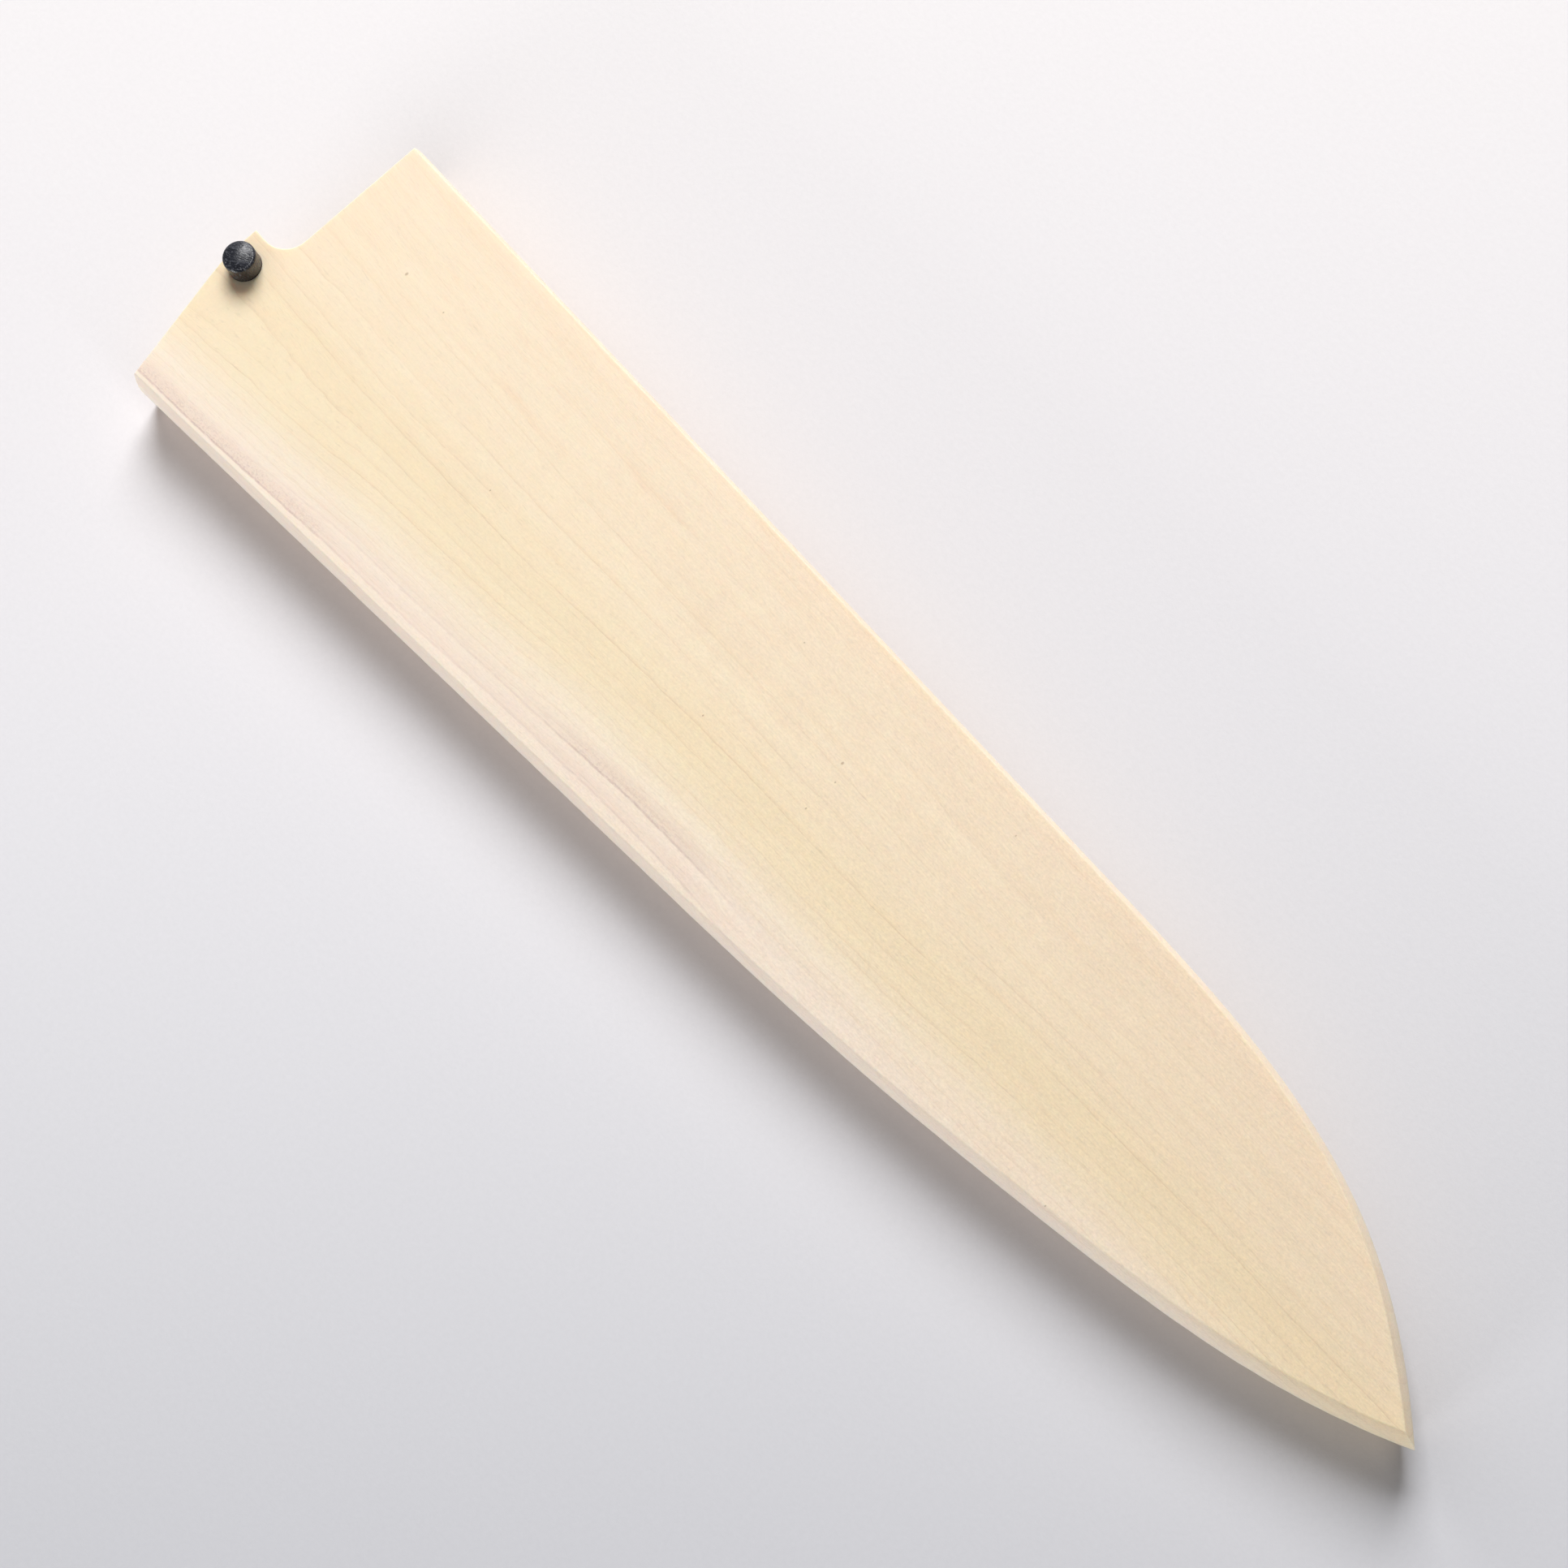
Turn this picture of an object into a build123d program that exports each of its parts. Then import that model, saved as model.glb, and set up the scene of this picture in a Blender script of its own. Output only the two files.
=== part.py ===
"""Wooden sheath for a chef's knife: two carved halves glued face to face, and a locking pin.

The sheath lies on its back face. X runs along it towards the tip, Y towards the blade's spine
and Z up, with the origin under the middle of the sheath.
"""
from build123d import *
import math
import os

# Overall sheath
sheath_length = 264.0
sheath_width = 60.4
sheath_thickness = 13.0

# Outline at the glue line, seen from above
tip_below_spine = 24.6
spine_curve_length = 92.0
belly_curve_length = 142.0
belly_rise_before_curve = 8.7
heel_setback = 5.5
spine_tip_fall_share = 0.83
belly_tip_rise_share = 0.54

# Points of the two curved stretches, as shares of each stretch's length and height
spine_curve_shares = [(0.39, 0.047), (0.623, 0.21), (0.776, 0.436), (0.89, 0.688)]
belly_curve_shares = [(0.296, 0.136), (0.512, 0.296), (0.713, 0.485), (0.859, 0.687)]
sample_shares = [0.0, 0.18, 0.36, 0.52, 0.66, 0.78, 0.88]

# Crowned sides: how far the sides bulge past the edge of the flat face
crown_at_mouth = 1.0
crown_at_tip = 1.8
tip_corner_crown = 2.8
crown_growth_power = 2.5
slice_height_shares = [0.0, 0.4, 0.75, 1.0]
arris_radius = 0.25

# Mouth, step and tongue
mouth_setback = 7.25
step_above_middle = 1.05
step_fillet_radius = 4.7
tongue_square_width = 6.7
tongue_bend_radius = 30.0

# Blade bed carved into the two halves
bed_wall = 4.2
bed_depth = 2.3
bed_tip_radius = 2.5
mouth_relief = 0.5

# Locking pin and its tapered bore
pin_head_radius = 2.8
pin_tail_radius = 2.4
pin_head_height = 4.4
pin_crown_height = 0.5
pin_rim_radius = 0.5
pin_tail_recess = 0.5
pin_tail_chamfer = 0.3
pin_clearance = 0.05
pin_below_step = 5.2
pin_end_margin = 0.8

# One overrun serves every cut
overrun = 5.0

# Places worked out from the sizes above
half_thickness = sheath_thickness / 2
tip_x = sheath_length / 2
tongue_x = -sheath_length / 2
spine_y = sheath_width / 2
belly_y = -sheath_width / 2
tip_y = spine_y - tip_below_spine
mouth_x = tongue_x + mouth_setback
step_y = step_above_middle
heel_x = tongue_x + heel_setback
blank_x = tongue_x - overrun - bed_wall
spine_curve_x = tip_x - spine_curve_length
belly_curve_x = tip_x - belly_curve_length
belly_curve_y = belly_y + belly_rise_before_curve
belly_slope = belly_rise_before_curve / (belly_curve_x - heel_x)
pin_x = tongue_x + pin_end_margin + pin_head_radius
pin_y = step_y - pin_below_step

# Directions in plan
along_spine = Vector(1, 0)
along_belly = Vector(1, belly_slope).normalized()
spine_into_tip = Vector(1, -spine_tip_fall_share).normalized()
belly_into_tip = Vector(1, belly_tip_rise_share).normalized()
back_from_tip = -(spine_into_tip + belly_into_tip).normalized()


def placed(start, end, shares):
    """Points between two corners, from shares of the way along X and along Y."""
    run = end.X - start.X
    rise = end.Y - start.Y
    return [Vector(start.X + run * along, start.Y + rise * across) for along, across in shares]


def curved_stretches():
    """The spine's and the belly's curves at the glue line, each ending at the tip."""
    tip = Vector(tip_x, tip_y)
    spine_start = Vector(spine_curve_x, spine_y)
    belly_start = Vector(belly_curve_x, belly_curve_y)
    spine_points = [spine_start, *placed(spine_start, tip, spine_curve_shares), tip]
    belly_points = [belly_start, *placed(belly_start, tip, belly_curve_shares), tip]
    spine = Edge.make_spline(spine_points, tangents=[along_spine, spine_into_tip])
    belly = Edge.make_spline(belly_points, tangents=[along_belly, belly_into_tip])
    return spine, belly


def crown_at(x):
    """Bulge of the side at a place along the sheath."""
    share = min(max((x - tongue_x) / sheath_length, 0), 1)
    return crown_at_mouth + (crown_at_tip - crown_at_mouth) * share**crown_growth_power


def drawn_in(curve, turn, inset_at, tip_inset):
    """Points of a curve moved inwards by the inset there, the last one at the tip."""
    points = []
    for share in sample_shares:
        place = curve.position_at(share)
        inwards = curve.tangent_at(share).rotate(Axis.Z, turn)
        points.append(place + inwards * inset_at(place.X))
    points.append(curve.position_at(1) + back_from_tip * tip_inset)
    return points


def knife_outline(inset_at, tip_inset):
    """Closed outline of a blade's shape, drawn in from the sheath's outline at the glue line."""
    spine, belly = curved_stretches()
    spine_points = drawn_in(spine, -90, inset_at, tip_inset)
    belly_points = drawn_in(belly, 90, inset_at, tip_inset)
    end_inset = inset_at(blank_x)
    spine_end = Vector(blank_x, spine_y - end_inset)
    belly_end = Vector(blank_x, belly_y + belly_slope * (blank_x - heel_x) + end_inset)
    spine_start_way = (spine_points[0] - spine_end).normalized()
    belly_start_way = (belly_points[0] - belly_end).normalized()
    edges = [
        Edge.make_line(spine_end, spine_points[0]),
        Edge.make_spline(spine_points, tangents=[spine_start_way, spine_into_tip]),
        Edge.make_spline(belly_points, tangents=[belly_start_way, belly_into_tip]),
        Edge.make_line(belly_points[0], belly_end),
        Edge.make_line(belly_end, spine_end),
    ]
    return Wire(edges)


def outline_slice(height_share):
    """Outline of the blank at a share of the half thickness above the glue line."""
    depth_share = height_share**2
    outline = knife_outline(lambda x: crown_at(x) * depth_share, tip_corner_crown * depth_share)
    return outline.moved(Location((0, 0, half_thickness * height_share)))


def half_blank():
    """One half before carving, from the glue line at height 0 up to its flat face."""
    return Solid.make_loft([outline_slice(share) for share in slice_height_shares])


def end_waste():
    """What is sawn off past the mouth, the step and the tongue's end, which slants to the heel."""
    far_x = blank_x - overrun
    far_y = spine_y + overrun
    mouth_corner = Vector(mouth_x, step_y)
    step_corner = Vector(tongue_x, step_y)
    tongue_bend = Vector(tongue_x, step_y - tongue_square_width)
    heel_corner = Vector(heel_x, belly_y)
    past_heel = heel_corner + (heel_corner - tongue_bend).normalized() * overrun
    mouth = FilletPolyline((mouth_x, far_y), mouth_corner, step_corner, radius=step_fillet_radius)
    tongue = FilletPolyline(step_corner, tongue_bend, past_heel, radius=tongue_bend_radius)
    outside = Polyline(past_heel, (far_x, past_heel.Y), (far_x, far_y), (mouth_x, far_y))
    profile = Face(Wire([*mouth.edges(), *tongue.edges(), *outside.edges()]))
    return extrude(profile.moved(Location((0, 0, -overrun))), half_thickness + 2 * overrun, dir=(0, 0, 1))


def blade_bed():
    """The space carved for the blade in one half: the outline drawn in by the wall."""
    half_tip_angle = spine_into_tip.get_angle(belly_into_tip) / 2
    bed_tip_inset = bed_wall / math.sin(math.radians(half_tip_angle))
    bed = Face(knife_outline(lambda x: bed_wall, bed_tip_inset))
    pocket = extrude(bed, bed_depth, dir=(0, 0, 1))
    tip_corner = pocket.edges().filter_by(Axis.Z).sort_by(Axis.X)[-1]
    return fillet(tip_corner, bed_tip_radius)


def carved_half():
    """One half of the sheath, glue line at height 0, without its pin bore."""
    half = half_blank() - end_waste()
    face = half.faces().sort_by(Axis.Z)[-1]
    half = fillet(face.outer_wire().edges(), arris_radius) - blade_bed()
    bed_floor = half.faces().filter_by(GeomType.PLANE).filter_by_position(Axis.Z, bed_depth, bed_depth)[0]
    mouth_edges = [edge for edge in bed_floor.outer_wire().edges() if edge.center().X < mouth_x + overrun]
    return chamfer(mouth_edges, mouth_relief)


def pin_radius_at(z):
    """Radius of the tapered pin at a height above the sheath's back face."""
    taper = (pin_head_radius - pin_tail_radius) / (sheath_thickness - pin_tail_recess)
    return pin_head_radius + taper * (z - sheath_thickness)


def pin_bore():
    """Tapered bore through both halves, a running clearance wider than the pin."""
    bottom_z = -overrun
    top_z = sheath_thickness + overrun
    bottom_radius = pin_radius_at(bottom_z) + pin_clearance
    top_radius = pin_radius_at(top_z) + pin_clearance
    plane = Plane((pin_x, pin_y, bottom_z))
    return Solid.make_cone(bottom_radius, top_radius, top_z - bottom_z, plane)


def front_half():
    """The upper half, in which the pin's head shows."""
    return carved_half().moved(Location((0, 0, half_thickness))) - pin_bore()


def back_half():
    """The lower half, the mirror image of the upper one apart from its bore."""
    half = mirror(carved_half(), about=Plane.XY)
    return half.moved(Location((0, 0, half_thickness))) - pin_bore()


def locking_pin():
    """Tapered pin with a straight head and a low domed top, turned about its own axis."""
    tail_z = pin_tail_recess
    head_z = sheath_thickness
    shoulder_z = head_z + pin_head_height - pin_crown_height
    top_z = head_z + pin_head_height
    rim_centre = (pin_head_radius - pin_rim_radius, shoulder_z - pin_rim_radius)
    rim_share = math.sqrt(0.5)
    rim_middle = (rim_centre[0] + pin_rim_radius * rim_share, rim_centre[1] + pin_rim_radius * rim_share)
    rim_end = (rim_centre[0], shoulder_z)
    dome_radius = (rim_end[0] ** 2 + pin_crown_height**2) / (2 * pin_crown_height)
    dome_turn = math.asin(rim_end[0] / dome_radius) / 2
    dome_centre_z = top_z - dome_radius
    dome_middle = (dome_radius * math.sin(dome_turn), dome_centre_z + dome_radius * math.cos(dome_turn))
    points = [
        (0, tail_z),
        (pin_tail_radius - pin_tail_chamfer, tail_z),
        (pin_radius_at(tail_z + pin_tail_chamfer), tail_z + pin_tail_chamfer),
        (pin_head_radius, head_z),
        (pin_head_radius, rim_centre[1]),
    ]
    edges = [Edge.make_line(*pair) for pair in zip(points, points[1:])]
    edges.append(Edge.make_three_point_arc(points[-1], rim_middle, rim_end))
    edges.append(Edge.make_three_point_arc(rim_end, dome_middle, (0, top_z)))
    edges.append(Edge.make_line((0, top_z), (0, tail_z)))
    profile = Face(Wire(edges)).rotate(Axis.X, 90)
    return revolve(profile, Axis.Z).moved(Location((pin_x, pin_y, 0)))


parts = {
    "front_half": front_half,
    "back_half": back_half,
    "locking_pin": locking_pin,
}

os.makedirs("parts", exist_ok=True)
for name, make in parts.items():
    export_step(make(), f"parts/{name}.step")
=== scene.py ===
"""Looks of a wooden knife sheath and its pin: materials, studio light, floor and camera.

Materials are laid out in millimetres of the frame: x along the sheath towards its tip, y across
it towards the spine and z up.
"""
import math
from collections import namedtuple

import bpy
from mathutils import Matrix, Vector


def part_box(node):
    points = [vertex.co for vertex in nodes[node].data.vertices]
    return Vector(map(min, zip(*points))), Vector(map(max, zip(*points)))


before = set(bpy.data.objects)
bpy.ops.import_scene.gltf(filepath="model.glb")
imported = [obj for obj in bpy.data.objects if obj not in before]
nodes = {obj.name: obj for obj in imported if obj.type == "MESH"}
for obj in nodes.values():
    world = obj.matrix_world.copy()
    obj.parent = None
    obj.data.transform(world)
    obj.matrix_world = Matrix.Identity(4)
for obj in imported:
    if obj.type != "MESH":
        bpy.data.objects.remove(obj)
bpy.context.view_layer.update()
PER_METRE = 1000.0
FACE_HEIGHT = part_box("front_half")[1][2] * PER_METRE

# Camera: where it stands and looks, and the direction that runs to the right in the picture
CAMERA_PLACE = Vector((0.12224, -0.03263, 0.49533))
CAMERA_AIM = Vector((-0.00327, 0.00326, 0.0130))
PICTURE_RIGHT = Vector((0.68048, 0.73276, 0.0))
FOCAL_LENGTH_MM = 75.0
SENSOR_MM = 36.0
CLIP_START = 0.01
CLIP_END = 20.0

# Key light: a large softbox beyond the mouth, on the spine's side
KEY_TOWARDS = Vector((-0.695, 0.719, 0.0))
KEY_ELEVATION = math.radians(45)
KEY_DISTANCE = 1.6
KEY_SIZE = 0.9
KEY_POWER = 29.5

# Fill light: a low, soft light on the belly's side
FILL_TOWARDS = Vector((0.08, -1.0, 0.0))
FILL_ELEVATION = math.radians(6)
FILL_DISTANCE = 1.3
FILL_SIZE = 0.45
FILL_POWER = 9.4

# The room: its light on the object, and how pale it looks behind things
ROOM_LIGHT = 0.17
ROOM_LOOK = 0.85
WHITE = (1, 1, 1, 1)

# Below, a pair named FADE, HEIGHTS, STRETCH or DEPTHS is the start and end of a smooth step from 0
# to 1, and a FADE of four also gives the values there. HEIGHTS, a STRETCH and a vein's CORE and
# BRUISE of four rise over the first two numbers and fall over the last two. A RELIEF is a bump's
# depth in metres and its strength.

# Noise patterns: their repeats per millimetre along the length, across it and in height, the
# shift that tells them apart, and the noise's detail, roughness and distortion. PRESENCE counts
# growth rings, not millimetres, across the length.
Pattern = namedtuple("Pattern", "along across deep shift detail roughness distortion")
WAVE = Pattern(0.03, 0.08, 0.1, 0.0, 1.0, 0.5, 0.0)
RIPPLE = Pattern(0.22, 0.35, 0.4, 7.0, 3.0, 0.5, 0.0)
STREAK = Pattern(0.014, 0.42, 0.0, 11.0, 4.0, 0.62, 0.0)
CLOUD = Pattern(0.09, 0.2, 0.0, 17.0, 3.0, 0.6, 0.0)
BARS = Pattern(0.26, 0.05, 0.0, 13.0, 2.0, 0.5, 0.0)
WARMTH = Pattern(0.03, 0.5, 0.0, 23.0, 4.0, 0.6, 0.4)
PRESENCE = Pattern(0.025, 3.7, 0.0, 3.0, 2.0, 0.5, 0.0)
BROKEN = Pattern(0.6, 2.0, 0.0, 5.0, 3.0, 0.7, 0.0)
BLUSH = Pattern(0.055, 0.5, 0.0, 19.0, 5.0, 0.62, 0.5)
FINE = Pattern(2.4, 2.9, 2.9, 29.0, 2.0, 0.7, 0.0)
FIBRE = Pattern(0.32, 3.6, 3.6, 0.0, 4.0, 0.68, 0.0)
GRIT = Pattern(1.5, 2.6, 2.6, 0.0, 3.0, 0.75, 0.0)
DASH = Pattern(0.42, 5.0, 5.0, 31.0, 2.0, 0.5, 0.0)
PAPER_FIBRE = Pattern(1.1, 1.1, 1.0, 0.0, 5.0, 0.75, 0.0)
DARK_STREAK = Pattern(0.35, 1.7, 0.5, 0.0, 4.0, 0.7, 0.0)
DARK_PORES = Pattern(1.9, 3.8, 1.2, 0.0, 2.0, 0.6, 0.0)

# Floor: pale paper with a painted light falloff in its colour, paler towards the picture's top,
# in shades from near to far. The reach is in metres each way from the middle, and the turn leans
# that direction, in degrees.
FLOOR_HALF = 3.0
FLOOR_FALLOFF_REACH = 0.15
FLOOR_FALLOFF_TURN = 3.0
FLOOR_PAINTED_FALLOFF = (
    (0.00, (0.620, 0.622, 0.660)),
    (0.10, (0.680, 0.680, 0.716)),
    (0.30, (0.772, 0.766, 0.798)),
    (0.50, (0.845, 0.831, 0.860)),
    (0.70, (0.868, 0.841, 0.860)),
    (0.90, (0.872, 0.843, 0.851)),
    (1.00, (0.872, 0.842, 0.847)),
)
PAPER_TONE = 0.955
PAPER_FIBRE_TONE = 0.09
PAPER_RELIEF = (0.00008, 0.4)
PAPER_ROUGHNESS = 0.85

# The sheath's lit sides throw light on the paper beside them, and painted shade darkens the paper's
# colour there, most at the side and less with the distance from it: the height of the spine's side
# along the sheath, the ends between which it holds, the place of the mouth, the reach and depth of
# the painted shade, and the fades.
LIT_SIDE = (
    (-126, 40, 58, 80, 97, 111, 122, 132),
    (30.2, 30.2, 29.4, 26.5, 21.7, 16.0, 10.8, 5.6),
)
LIT_SIDE_START = -126.0
LIT_SIDE_END = 132.0
LIT_MOUTH = -125.0
PAINTED_SHADE_REACH = 9.0
PAINTED_SHADE_DEPTH = 0.20
LIT_SIDE_FADE = (-6.0, 0.0)
LIT_MOUTH_FADE = (-123.0, -125.5)
LIT_HEEL_FADE = (-34.0, -28.0)

# Drifts of the growth lines: places along the sheath, the rises there, and the fades across the
# sheath, each from one height to another and, where given, from one share to another
DRIFTS = (
    (
        (-132, -118, -100, -90, -60, -50, -40, -30, -20, 0),
        (-3.2, -3.4, -3.8, -3.6, -2.9, -2.3, -1.5, -0.8, -0.4, 0.0),
        ((10.0, -4.0),),
    ),
    (
        (-132, -120, -100, -60, -30, 0),
        (-8.0, -7.0, -4.9, -2.0, -1.5, 0.0),
        ((-4.0, -18.0),),
    ),
    (
        (-132, -124, -110, -100, -80, -60, 0, 20, 40, 60, 132),
        (2.6, 2.0, 1.2, 0.8, 0.3, 0.0, 0.0, -1.0, -1.6, -1.2, 0.0),
        ((3.0, 16.0),),
    ),
    (
        (0, 30, 60, 90, 132),
        (0.0, 1.2, 3.7, 4.8, 6.0),
        ((24.0, 4.0, 0.2, 1.0), (-16.0, -4.0, 0.4, 1.0)),
    ),
)

# How far the wave and the ripple move the lines, and how far they move for each millimetre of depth
WAVE_RISE = 1.4
RIPPLE_RISE = 0.5
LAYER_TILT = -0.35

# Broad colour across the grain, from a height and over a reach
BROAD_START = -28.0
BROAD_REACH = 60.0
BROAD_COLOURS = (
    (0.000, (0.950, 0.805, 0.682)),
    (0.200, (0.955, 0.812, 0.685)),
    (0.275, (0.960, 0.815, 0.655)),
    (0.315, (0.950, 0.800, 0.607)),
    (0.360, (0.940, 0.785, 0.565)),
    (0.450, (0.930, 0.772, 0.545)),
    (0.560, (0.945, 0.785, 0.585)),
    (0.750, (0.945, 0.782, 0.592)),
    (1.000, (0.942, 0.778, 0.600)),
)

# Streaks, clouds and upright bars in the tone, and warmer streaks
STREAK_TONE = 0.10
CLOUD_TONE = 0.06
BAR_TONE = 0.075
BAR_HEIGHTS = (4.0, 10.0, 17.0, 22.0)
BAR_STRETCH = (-85.0, -58.0, 48.0, 75.0)
WARM_FADE = (0.42, 0.78, 0.0, 0.36)
WARM_TINT = (1.0, 0.955, 0.885)

# Growth lines: where each crosses the middle of the sheath, and how strongly it shows. A ring
# darkens over a broad band towards its thin line.
GROWTH_LINES = (
    (-23, 0.2), (-20, 0.3), (-17, 0.3), (-13.8, 0.75), (-12.4, 0.8), (-11.3, 0.6),
    (-9.7, 0.8), (-8.3, 1.0), (-7.0, 1.1), (-5.2, 0.6), (-3.6, 0.8), (-0.1, 1.2),
    (2.6, 0.6), (5.5, 0.85), (8.7, 0.4), (10.6, 0.75), (13.4, 0.3), (16.6, 0.2),
    (19.2, 0.5), (22.8, 0.3), (25.4, 0.35), (28.2, 0.45), (31.5, 0.3),
)
LINE_PRESENCE_FADE = (0.32, 0.58, 0.12, 1.0)
LINE_BREAK_FADE = (0.30, 0.60, 0.4, 1.0)
LINE_SHARPNESS = 26.0
LINE_AMOUNT = 0.28
LINE_COLOUR = (0.52, 0.31, 0.18)
BAND_PRESENCE_FADE = (0.3, 0.7, 0.3, 1.0)
BAND_SHARPNESS = 4.0
BAND_AMOUNT = 0.17
BAND_COLOUR = (0.78, 0.58, 0.36)

# Soft pink blushes towards the spine, and pale streaks between them
BLUSH_FADE = (0.50, 0.80)
BLUSH_HEIGHTS = (5.0, 14.0)
BLUSH_STRETCH = (0.0, -40.0)
BLUSH_AMOUNT = 0.40
BLUSH_COLOUR = (0.90, 0.655, 0.47)
PALE_FADE = (0.42, 0.24)
PALE_HEIGHTS = (4.0, 8.0, 20.0, 26.0)
PALE_STRETCH = (10.0, -40.0)
PALE_AMOUNT = 0.35
PALE_COLOUR = (0.93, 0.80, 0.62)

# Two dark mineral veins in the belly band: their heights along the sheath, and their strengths.
# Each has a thin core with a bruised band and stippling on its upper side.
LONG_VEIN = (
    (-132, -126, -110, -92, -80, -62, -50, -30, -10, 0, 10, 24),
    (-28.8, -28.3, -27.1, -25.4, -24.2, -22.8, -21.5, -19.9, -18.7, -18.6, -19.3, -21.0),
)
LONG_VEIN_STRENGTH = (
    (-132, -92, -80, -50, -20, 5, 24),
    (0.95, 1.0, 0.55, 0.4, 0.5, 0.4, 0.0),
)
SHORT_VEIN = (
    (-104, -90, -80, -60, -40, -30, -20, -10, 0, 20, 30, 60),
    (-24.8, -22.5, -21.2, -19.6, -17.9, -17.0, -16.0, -15.4, -15.1, -15.2, -14.9, -13.2),
)
SHORT_VEIN_STRENGTH = (
    (-104, -80, -50, -34, -24, -6, 4, 24, 60),
    (0.0, 0.35, 0.4, 0.6, 1.0, 0.85, 0.28, 0.06, 0.0),
)
VEIN_RIPPLE = 0.35
VEIN_JITTER = 0.2
VEIN_CORE = (-0.26, -0.06, 0.02, 0.32)
VEIN_CORE_AMOUNT = 0.36
VEIN_BREAK_FADE = (0.3, 0.58, 0.25, 1.0)
VEIN_BRUISE = (-0.3, 0.2, 0.8, 3.2)
VEIN_BRUISE_AMOUNT = 0.13
STIPPLE_FADE = (0.46, 0.66)
STIPPLE_AMOUNT = 0.20
VEIN_COLOUR = (0.46, 0.31, 0.29)

# Fibres and speckle in the tone, livelier towards the tip, and short darker dashes
LIVELY_FADE = (-130.0, 40.0, 0.45, 1.45)
FIBRE_TONE = 0.11
GRIT_TONE = 0.18
FINE_TONE = 0.13
DASH_FADE = (0.58, 0.74)
DASH_TONE = -0.08

# Small brown flecks in the front face: place and half width. They are wider across the sheath.
FLECKS = (
    (-108.6, 14.2, 0.30), (-99.3, 14.3, 0.16), (-71.0, 0.5, 0.16), (0.4, 12.0, 0.26),
    (1.9, 9.2, 0.16), (1.9, 3.2, 0.18), (-20.0, 1.2, 0.18), (71.0, -10.5, 0.16),
    (26.8, 23.8, 0.15), (-18.0, 20.4, 0.14),
)
FLECK_SQUEEZE = 0.7
FLECK_CORE = 0.4
FLECK_DEPTHS = (0.4, 0.2)
FLECK_AMOUNT = 0.5
FLECK_COLOUR = (0.34, 0.21, 0.10)

# A brown darkening around the pin, painted warm shade along the foot, and painted shade that
# darkens the faces towards the tip
PIN_PLACE = (-128.4, -4.15)
PIN_DARKENING_FADE = (8.5, 2.5)
PIN_DARKENING_CLOUD_FADE = (0.3, 0.7, 0.6, 1.0)
PIN_DARKENING_AMOUNT = 0.16
PIN_DARKENING_COLOUR = (0.60, 0.40, 0.24)
FOOT_PAINTED_SHADE_FADE = (1.1, 0.1, 0.0, 0.6)
FOOT_PAINTED_SHADE_TINT = (0.93, 0.74, 0.58)
TIP_PAINTED_SHADE_STRETCH = (-70.0, 135.0)
TIP_PAINTED_SHADE_DEPTHS = (2.0, 0.3)
TIP_PAINTED_SHADE_TINT = (0.955, 0.945, 0.925)

# Surface of the pale wood. A share of the light goes through it, by a reach for each colour and
# the scale of that reach in metres.
WOOD_ROUGHNESS = 0.56
FIBRE_ROUGHNESS = 0.25
FIBRE_RELIEF = 0.6
GRIT_RELIEF = 0.4
WOOD_RELIEF = (0.00008, 0.5)
WOOD_SPECULAR = 0.35
SUBSURFACE_SHARE = 0.4
SUBSURFACE_REACH = (1.0, 0.6, 0.35)
SUBSURFACE_SCALE = 0.0025

# Dark wood of the pin: its grain's direction in degrees from the sheath's length, the heights
# below which its side is painted browner as painted warm bounce light from the pale wood, its pale
# pores and its polish
DARK_GRAIN_TURN = 30.0
DARK_COLOURS = ((0.30, (0.005, 0.006, 0.010)), (0.70, (0.026, 0.028, 0.040)))
DARK_SIDE_BOUNCE_FADE = (16.9, 16.3)
DARK_SIDE_BOUNCE_TINT = (1.1, 0.85, 0.62)
PORE_FADE = (0.57, 0.68)
PORE_AMOUNT = 0.5
PORE_COLOUR = (0.14, 0.15, 0.19)
PORE_ROUGHNESS = 0.2
PORE_RELIEF = -0.6
POLISH_FADE = (0.3, 0.75, 0.20, 0.36)
DARK_RELIEF = (0.0002, 0.8)
DARK_SPECULAR = 0.6


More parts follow.
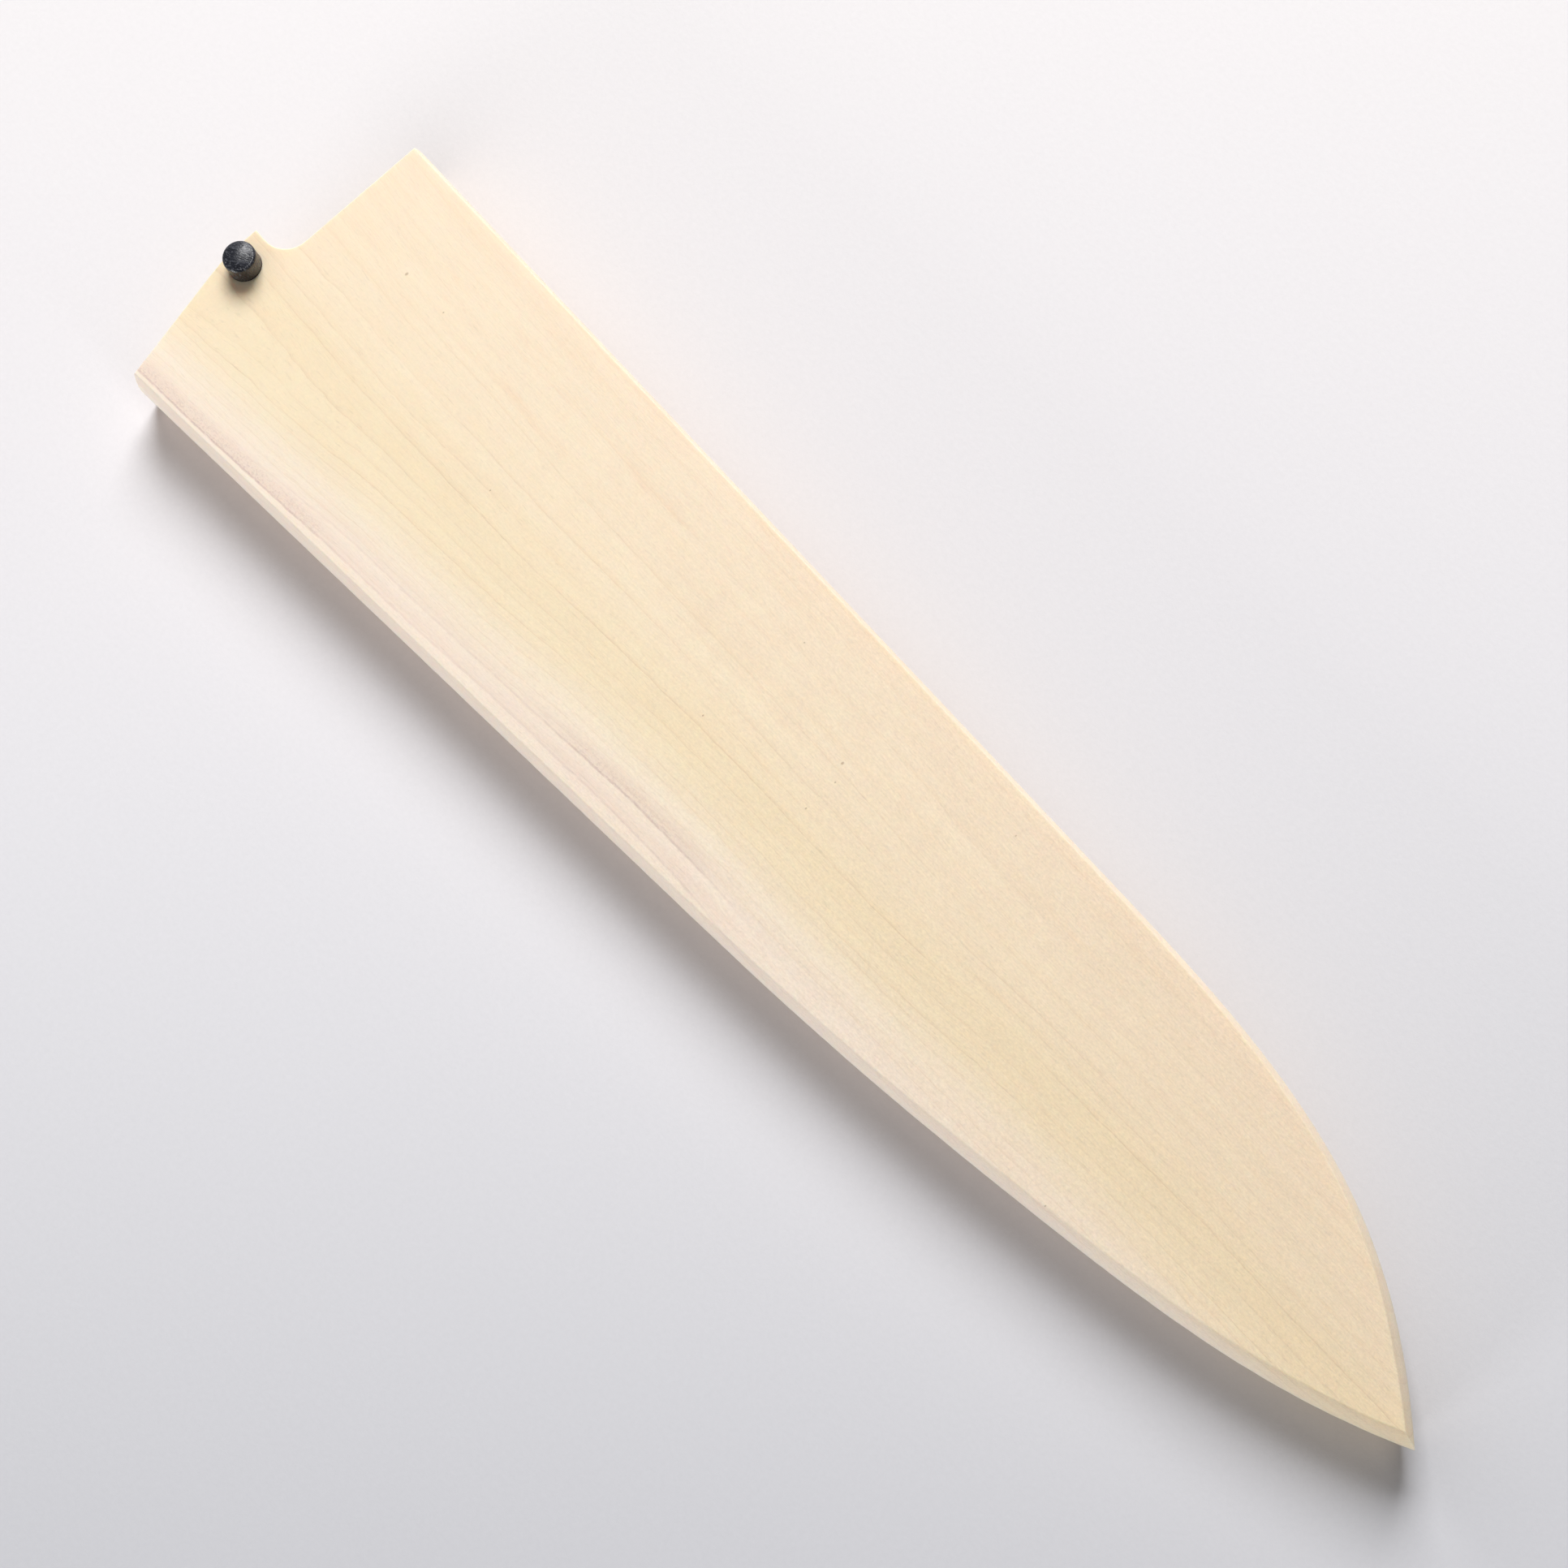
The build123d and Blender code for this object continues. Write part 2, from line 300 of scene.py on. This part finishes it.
class Maker:
    """One material's nodes: each call adds nodes and gives back an output socket."""

    def __init__(self, name):
        self.material = bpy.data.materials.new(name)
        self.material.use_nodes = True
        self.tree = self.material.node_tree
        self.shader = self.tree.nodes["Principled BSDF"]

    def node(self, kind, **settings):
        made = self.tree.nodes.new(kind)
        for name, value in settings.items():
            setattr(made, name, value)
        return made

    def feed(self, socket, value):
        if isinstance(value, bpy.types.NodeSocket):
            self.tree.links.new(value, socket)
        else:
            socket.default_value = value

    def shade(self, name, value):
        """Sets or links a socket of the material's own shader."""
        self.feed(self.shader.inputs[name], value)

    def math(self, operation, *values):
        made = self.node("ShaderNodeMath", operation=operation)
        for socket, value in zip(made.inputs, values):
            self.feed(socket, value)
        return made.outputs[0]

    def add(self, *values):
        total = values[0]
        for value in values[1:]:
            total = self.math("ADD", total, value)
        return total

    def take(self, a, b):
        return self.math("SUBTRACT", a, b)

    def times(self, *values):
        total = values[0]
        for value in values[1:]:
            total = self.math("MULTIPLY", total, value)
        return total

    def larger(self, a, b):
        return self.math("MAXIMUM", a, b)

    def swing(self, noise, amount):
        """A noise about 0 instead of 0.5, times an amount."""
        return self.times(self.take(noise, 0.5), amount)

    def ease(self, value, start, end, start_value=0.0, end_value=1.0):
        """A smooth step from one value to another."""
        made = self.node("ShaderNodeMapRange", interpolation_type="SMOOTHSTEP")
        for name, put in (
            ("Value", value),
            ("From Min", start),
            ("From Max", end),
            ("To Min", start_value),
            ("To Max", end_value),
        ):
            self.feed(made.inputs[name], put)
        return made.outputs["Result"]

    def between(self, value, start, rise_end, fall_start, end):
        """1 inside a range, with soft ends."""
        rise = self.ease(value, start, rise_end)
        return self.times(rise, self.ease(value, fall_start, end, 1.0, 0.0))

    def curve(self, value, places, heights, handles="AUTO"):
        """A curve through points, of a value that runs over their places."""
        span, low, high = places[-1] - places[0], min(heights), max(heights)
        share = self.times(self.take(value, places[0]), 1 / span)
        made = self.node("ShaderNodeFloatCurve")
        points = made.mapping.curves[0].points
        while len(points) < len(places):
            points.new(0.5, 0.5)
        for point, place, height in zip(points, places, heights):
            point.location = ((place - places[0]) / span, (height - low) / (high - low))
            point.handle_type = handles
        made.mapping.extend = "HORIZONTAL"
        made.mapping.update()
        self.feed(made.inputs["Value"], share)
        return self.add(self.times(made.outputs[0], high - low), low)

    def vector(self, x, y, z):
        made = self.node("ShaderNodeCombineXYZ")
        for socket, value in zip(made.inputs, (x, y, z)):
            self.feed(socket, value)
        return made.outputs[0]

    def distance(self, flat_place, other):
        """Distance of a flat place, given as a vector, from two numbers."""
        made = self.node("ShaderNodeVectorMath", operation="DISTANCE")
        self.feed(made.inputs[0], flat_place)
        self.feed(made.inputs[1], (*other, 0.0))
        return made.outputs["Value"]

    def noise(self, pattern, x, y, z, seed=0.0):
        """A pattern's noise, from 0 to 1, at a place in millimetres."""
        deep = seed + pattern.shift
        if pattern.deep:
            deep = self.add(self.times(z, pattern.deep), deep)
        along = self.times(x, pattern.along)
        across = self.times(y, pattern.across)
        made = self.node("ShaderNodeTexNoise")
        self.feed(made.inputs["Vector"], self.vector(along, across, deep))
        self.feed(made.inputs["Scale"], 1.0)
        self.feed(made.inputs["Detail"], pattern.detail)
        self.feed(made.inputs["Roughness"], pattern.roughness)
        self.feed(made.inputs["Distortion"], pattern.distortion)
        return made.outputs["Fac"]

    def ramp(self, value, stops, kind="LINEAR"):
        made = self.node("ShaderNodeValToRGB")
        made.color_ramp.interpolation = kind
        elements = made.color_ramp.elements
        while len(elements) < len(stops):
            elements.new(0.5)
        for element, (place, colour) in zip(elements, stops):
            element.position = place
            element.color = (*colour, 1)
        self.feed(made.inputs["Fac"], value)
        return made.outputs["Color"]

    def mix(self, amount, a, b, blend="MIX"):
        made = self.node("ShaderNodeMix", data_type="RGBA", blend_type=blend)
        for socket, value in ((made.inputs[0], amount), (made.inputs[6], a), (made.inputs[7], b)):
            if isinstance(value, tuple):
                value = (*value, 1)
            self.feed(socket, value)
        return made.outputs[2]

    def tint(self, amount, colour, tint):
        """A colour, by an amount multiplied by a tint."""
        return self.mix(amount, colour, self.mix(1.0, colour, tint, "MULTIPLY"))

    def grey(self, value):
        return self.vector(value, value, value)

    def bump(self, height, distance, strength):
        made = self.node("ShaderNodeBump")
        self.feed(made.inputs["Strength"], strength)
        self.feed(made.inputs["Distance"], distance)
        self.feed(made.inputs["Height"], height)
        return made.outputs["Normal"]

    def place(self):
        """Place in the frame, in millimetres: x, y and z."""
        made = self.node("ShaderNodeSeparateXYZ")
        self.feed(made.inputs[0], self.node("ShaderNodeTexCoord").outputs["Object"])
        return [self.times(output, PER_METRE) for output in made.outputs]


class Wood(Maker):
    """Pale magnolia: growth lines that follow the grain, a pink belly band, figure and fibres.

    The seed shifts the noises and side is 1 for the front half and -1 for the back one, whose
    layers lean the other way.
    """

    def __init__(self, name, seed, side):
        super().__init__(name)
        self.seed = seed
        self.x, self.y, self.z = self.place()
        face = FACE_HEIGHT if side > 0 else 0.0
        self.depth = self.times(self.take(face, self.z), float(side))
        self.tilt = self.times(self.depth, LAYER_TILT)
        self.ripple = self.pattern(RIPPLE, self.y)
        self.across = self.height_across_grain()
        self.cloud = self.pattern(CLOUD, self.y)
        self.broken = self.pattern(BROKEN, self.across)
        self.fine = self.pattern(FINE, self.y)
        self.fibre = self.pattern(FIBRE, self.across)
        self.grit = self.pattern(GRIT, self.across)
        self.colour = self.broad_colour()

    def pattern(self, kind, across):
        """A noise pattern of this board, over its length and a height across it."""
        return self.noise(kind, self.x, across, self.z, self.seed)

    def stain(self, amount, colour):
        """Mixes a colour in, by an amount."""
        self.colour = self.mix(amount, self.colour, colour)

    def height_across_grain(self):
        """The height at which a place's grain line crosses the middle of the sheath."""
        drift = 0.0
        for places, rises, fades in DRIFTS:
            rise = self.curve(self.x, places, rises)
            for fade in fades:
                rise = self.times(rise, self.ease(self.y, *fade))
            drift = self.add(drift, rise)
        grain = self.add(self.take(self.y, drift), self.tilt)
        wave = self.swing(self.pattern(WAVE, self.y), WAVE_RISE)
        return self.add(grain, wave, self.swing(self.ripple, RIPPLE_RISE))

    def broad_colour(self):
        """Slow colour across the grain, with warmer streaks."""
        share = self.times(self.take(self.across, BROAD_START), 1 / BROAD_REACH)
        colour = self.ramp(share, BROAD_COLOURS)
        warmth = self.pattern(WARMTH, self.across)
        return self.tint(self.ease(warmth, *WARM_FADE), colour, WARM_TINT)

    def add_growth_lines(self):
        """Each ring darkens slowly towards a thin line, then starts pale again."""
        lines, strengths = zip(*GROWTH_LINES)
        phase = self.curve(self.across, lines, range(len(lines)), "VECTOR")
        weight = self.curve(self.across, lines, strengths, "VECTOR")
        ring = self.math("FLOOR", self.add(phase, 0.5))
        nearness = self.take(1.0, self.math("FRACT", phase))
        presence = self.pattern(PRESENCE, ring)
        band = self.times(
            self.math("POWER", nearness, BAND_SHARPNESS),
            weight,
            self.ease(presence, *BAND_PRESENCE_FADE),
        )
        line = self.times(
            self.math("POWER", nearness, LINE_SHARPNESS),
            weight,
            self.ease(presence, *LINE_PRESENCE_FADE),
            self.ease(self.broken, *LINE_BREAK_FADE),
        )
        self.stain(self.times(band, BAND_AMOUNT), BAND_COLOUR)
        self.stain(self.times(line, LINE_AMOUNT), LINE_COLOUR)

    def add_blushes(self):
        noise = self.pattern(BLUSH, self.across)
        pink = self.times(
            self.ease(noise, *BLUSH_FADE),
            self.ease(self.y, *BLUSH_HEIGHTS),
            self.ease(self.x, *BLUSH_STRETCH),
        )
        pale = self.times(
            self.ease(noise, *PALE_FADE),
            self.ease(self.x, *PALE_STRETCH),
            self.between(self.y, *PALE_HEIGHTS),
        )
        self.stain(self.times(pink, BLUSH_AMOUNT), BLUSH_COLOUR)
        self.stain(self.times(pale, PALE_AMOUNT), PALE_COLOUR)

    def add_veins(self):
        """Broken purple lines, each with its bruised band and its stippling."""
        ripple = self.swing(self.ripple, VEIN_RIPPLE)
        wobble = self.add(ripple, self.swing(self.broken, VEIN_JITTER))
        unbroken = self.ease(self.broken, *VEIN_BREAK_FADE)
        amount, dots = 0.0, 0.0
        for vein, strength in ((LONG_VEIN, LONG_VEIN_STRENGTH), (SHORT_VEIN, SHORT_VEIN_STRENGTH)):
            above = self.add(self.take(self.y, self.curve(self.x, *vein)), wobble, self.tilt)
            power = self.curve(self.x, *strength)
            core = self.times(self.between(above, *VEIN_CORE), unbroken, power)
            bruise = self.times(self.between(above, *VEIN_BRUISE), power)
            core_amount = self.times(core, VEIN_CORE_AMOUNT)
            amount = self.add(amount, core_amount, self.times(bruise, VEIN_BRUISE_AMOUNT))
            dots = self.add(dots, self.times(bruise, power))
        stipple = self.times(self.ease(self.fine, *STIPPLE_FADE), dots, STIPPLE_AMOUNT)
        self.stain(self.add(amount, stipple), VEIN_COLOUR)

    def add_tones(self):
        """Lighter and darker streaks, clouds, upright bars, fibres, speckle and dashes."""
        streak = self.swing(self.pattern(STREAK, self.across), STREAK_TONE)
        cloud = self.swing(self.cloud, CLOUD_TONE)
        bars = self.times(
            self.swing(self.pattern(BARS, self.y), BAR_TONE),
            self.between(self.y, *BAR_HEIGHTS),
            self.between(self.x, *BAR_STRETCH),
        )
        sharp = self.add(
            self.swing(self.fibre, FIBRE_TONE),
            self.swing(self.grit, GRIT_TONE),
            self.swing(self.fine, FINE_TONE),
        )
        sharp = self.times(sharp, self.ease(self.x, *LIVELY_FADE))
        dash = self.times(self.ease(self.pattern(DASH, self.across), *DASH_FADE), DASH_TONE)
        tone = self.add(1.0, streak, cloud, bars, sharp, dash)
        self.colour = self.mix(1.0, self.colour, self.grey(tone), "MULTIPLY")

    def add_flecks(self):
        flat_place = self.vector(self.x, self.times(self.y, FLECK_SQUEEZE), 0.0)
        speck = 0.0
        for fleck_x, fleck_y, half_width in FLECKS:
            away = self.distance(flat_place, (fleck_x, fleck_y * FLECK_SQUEEZE))
            fleck = self.ease(away, half_width, half_width * FLECK_CORE)
            speck = self.larger(speck, fleck)
        shallow = self.ease(self.depth, *FLECK_DEPTHS)
        self.stain(self.times(speck, shallow, FLECK_AMOUNT), FLECK_COLOUR)

    def add_pin_darkening_and_painted_shade(self):
        """Darkening by the pin; painted shade on the foot and on the faces towards the tip."""
        # a warm brown darkening around the pin
        away = self.distance(self.vector(self.x, self.y, 0.0), PIN_PLACE)
        cloud = self.ease(self.cloud, *PIN_DARKENING_CLOUD_FADE)
        self.stain(self.times(self.ease(away, *PIN_DARKENING_FADE), cloud, PIN_DARKENING_AMOUNT), PIN_DARKENING_COLOUR)
        # painted warm shade along the foot, where the sheath meets the floor
        self.colour = self.tint(self.ease(self.z, *FOOT_PAINTED_SHADE_FADE), self.colour, FOOT_PAINTED_SHADE_TINT)
        # painted shade: the faces are darkened towards the tip, as the light falls off
        far = self.times(self.ease(self.x, *TIP_PAINTED_SHADE_STRETCH), self.ease(self.depth, *TIP_PAINTED_SHADE_DEPTHS))
        self.colour = self.tint(far, self.colour, TIP_PAINTED_SHADE_TINT)

    def finish(self):
        """Gives the shader the colour and the surface."""
        relief = self.add(self.times(self.fibre, FIBRE_RELIEF), self.times(self.grit, GRIT_RELIEF))
        self.shade("Base Color", self.colour)
        self.shade("Roughness", self.add(WOOD_ROUGHNESS, self.swing(self.fibre, FIBRE_ROUGHNESS)))
        self.shade("Normal", self.bump(relief, *WOOD_RELIEF))
        self.shade("Specular IOR Level", WOOD_SPECULAR)
        self.shade("Subsurface Weight", SUBSURFACE_SHARE)
        self.shade("Subsurface Radius", SUBSURFACE_REACH)
        self.shade("Subsurface Scale", SUBSURFACE_SCALE)


def make_wood(name, seed, side):
    wood = Wood(name, seed, side)
    wood.add_growth_lines()
    wood.add_blushes()
    wood.add_veins()
    wood.add_tones()
    if side > 0:
        wood.add_flecks()
    wood.add_pin_darkening_and_painted_shade()
    wood.finish()
    return wood.material


def make_dark_wood():
    """Near-black turned wood with rows of fine pores and a soft polish."""
    maker = Maker("dark_wood")
    x, y, z = maker.place()
    add, times, ease = maker.add, maker.times, maker.ease
    turn = math.radians(DARK_GRAIN_TURN)
    along = add(times(x, math.cos(turn)), times(y, math.sin(turn)))
    across = add(times(x, -math.sin(turn)), times(y, math.cos(turn)))
    streak = maker.noise(DARK_STREAK, along, across, z)
    pore = ease(maker.noise(DARK_PORES, along, across, z), *PORE_FADE)
    colour = maker.ramp(streak, DARK_COLOURS)
    # painted bounce light: the pin's side is tinted browner, as if lit by the pale wood
    colour = maker.tint(ease(z, *DARK_SIDE_BOUNCE_FADE), colour, DARK_SIDE_BOUNCE_TINT)
    relief = add(streak, times(pore, PORE_RELIEF))
    maker.shade("Base Color", maker.mix(times(pore, PORE_AMOUNT), colour, PORE_COLOUR))
    maker.shade("Roughness", add(ease(streak, *POLISH_FADE), times(pore, PORE_ROUGHNESS)))
    maker.shade("Normal", maker.bump(relief, *DARK_RELIEF))
    maker.shade("Specular IOR Level", DARK_SPECULAR)
    return maker.material


def painted_shade_beside_sheath(maker, x, y):
    """How much painted shade darkens the paper beside the lit spine side and mouth."""
    along = maker.math("MINIMUM", maker.larger(x, LIT_SIDE_START), LIT_SIDE_END)
    beyond = maker.take(y, maker.curve(along, *LIT_SIDE))
    beside = maker.larger(maker.take(LIT_MOUTH, x), maker.take(x, LIT_SIDE_END))
    away = maker.larger(beyond, 0.0)
    aside = maker.larger(beside, 0.0)
    distance = maker.math("SQRT", maker.add(maker.times(away, away), maker.times(aside, aside)))
    fading = maker.math("EXPONENT", maker.times(distance, -1 / PAINTED_SHADE_REACH))
    by_mouth = maker.times(maker.ease(x, *LIT_MOUTH_FADE), maker.ease(y, *LIT_HEEL_FADE))
    lit = maker.larger(maker.ease(beyond, *LIT_SIDE_FADE), by_mouth)
    return maker.times(fading, lit, PAINTED_SHADE_DEPTH)


def make_paper():
    """Matt paper with faint fibres, painted light falloff and painted shade beside the sheath."""
    maker = Maker("paper")
    x, y, z = maker.place()
    turn = math.radians(90.0 - FLOOR_FALLOFF_TURN)
    paler = Matrix.Rotation(turn, 3, "Z") @ PICTURE_RIGHT
    along = maker.add(maker.times(x, paler.x), maker.times(y, paler.y))
    reach = FLOOR_FALLOFF_REACH * PER_METRE
    share = maker.times(maker.add(along, reach), 0.5 / reach)
    # painted light falloff across the floor, paler towards the picture's top
    shade = maker.ramp(share, FLOOR_PAINTED_FALLOFF, "B_SPLINE")
    fibre = maker.noise(PAPER_FIBRE, x, y, z)
    tone = maker.add(PAPER_TONE, maker.times(fibre, PAPER_FIBRE_TONE))
    # painted shade: the paper is darkened beside the sheath's lit sides
    tone = maker.grey(maker.take(tone, painted_shade_beside_sheath(maker, x, y)))
    maker.shade("Base Color", maker.mix(1.0, shade, tone, "MULTIPLY"))
    maker.shade("Normal", maker.bump(fibre, *PAPER_RELIEF))
    maker.shade("Roughness", PAPER_ROUGHNESS)
    return maker.material


def make_floor():
    mesh = bpy.data.meshes.new("floor")
    corners = [
        (-FLOOR_HALF, -FLOOR_HALF, 0),
        (FLOOR_HALF, -FLOOR_HALF, 0),
        (FLOOR_HALF, FLOOR_HALF, 0),
        (-FLOOR_HALF, FLOOR_HALF, 0),
    ]
    mesh.from_pydata(corners, [], [(0, 1, 2, 3)])
    floor = bpy.data.objects.new("floor", mesh)
    bpy.context.scene.collection.objects.link(floor)
    mesh.materials.append(make_paper())


def make_camera():
    data = bpy.data.cameras.new("camera")
    data.lens = FOCAL_LENGTH_MM
    data.sensor_width = SENSOR_MM
    data.clip_start = CLIP_START
    data.clip_end = CLIP_END
    camera = bpy.data.objects.new("camera", data)
    bpy.context.scene.collection.objects.link(camera)
    back = (CAMERA_PLACE - CAMERA_AIM).normalized()
    right = (PICTURE_RIGHT - back * PICTURE_RIGHT.dot(back)).normalized()
    up = back.cross(right)
    turn = Matrix((right, up, back)).transposed()
    camera.matrix_world = Matrix.Translation(CAMERA_PLACE) @ turn.to_4x4()
    bpy.context.scene.camera = camera


def light_place(towards, elevation, distance):
    """Where a light stands that is seen from the origin this way and this high."""
    ground = towards.normalized() * math.cos(elevation)
    return (ground + Vector((0, 0, math.sin(elevation)))) * distance


def make_area_light(name, place, size, power):
    """A square light that faces the origin."""
    data = bpy.data.lights.new(name, "AREA")
    data.shape = "SQUARE"
    data.size = size
    data.energy = power
    light = bpy.data.objects.new(name, data)
    light.location = place
    light.rotation_mode = "QUATERNION"
    light.rotation_quaternion = (-place).to_track_quat("-Z", "Y")
    light.visible_camera = False
    bpy.context.scene.collection.objects.link(light)


def make_world():
    """An even room light, with a paler look behind things."""
    world = bpy.data.worlds.new("studio")
    world.use_nodes = True
    tree = world.node_tree
    light = tree.nodes["Background"]
    look = tree.nodes.new("ShaderNodeBackground")
    for background, strength in ((light, ROOM_LIGHT), (look, ROOM_LOOK)):
        background.inputs["Color"].default_value = WHITE
        background.inputs["Strength"].default_value = strength
    path = tree.nodes.new("ShaderNodeLightPath")
    mix = tree.nodes.new("ShaderNodeMixShader")
    tree.links.new(path.outputs["Is Camera Ray"], mix.inputs[0])
    tree.links.new(light.outputs[0], mix.inputs[1])
    tree.links.new(look.outputs[0], mix.inputs[2])
    tree.links.new(mix.outputs[0], tree.nodes["World Output"].inputs["Surface"])
    bpy.context.scene.world = world


def dress(name, material):
    """Gives a CAD node its material."""
    materials = nodes[name].data.materials
    materials.clear()
    materials.append(material)


dress("front_half", make_wood("pale_wood_front", 0.0, 1))
dress("back_half", make_wood("pale_wood_back", 40.0, -1))
dress("locking_pin", make_dark_wood())
make_floor()
make_world()
key_place = light_place(KEY_TOWARDS, KEY_ELEVATION, KEY_DISTANCE)
fill_place = light_place(FILL_TOWARDS, FILL_ELEVATION, FILL_DISTANCE)
make_area_light("key", key_place, KEY_SIZE, KEY_POWER)
make_area_light("fill", fill_place, FILL_SIZE, FILL_POWER)
make_camera()
bpy.context.scene.view_settings.view_transform = "Standard"
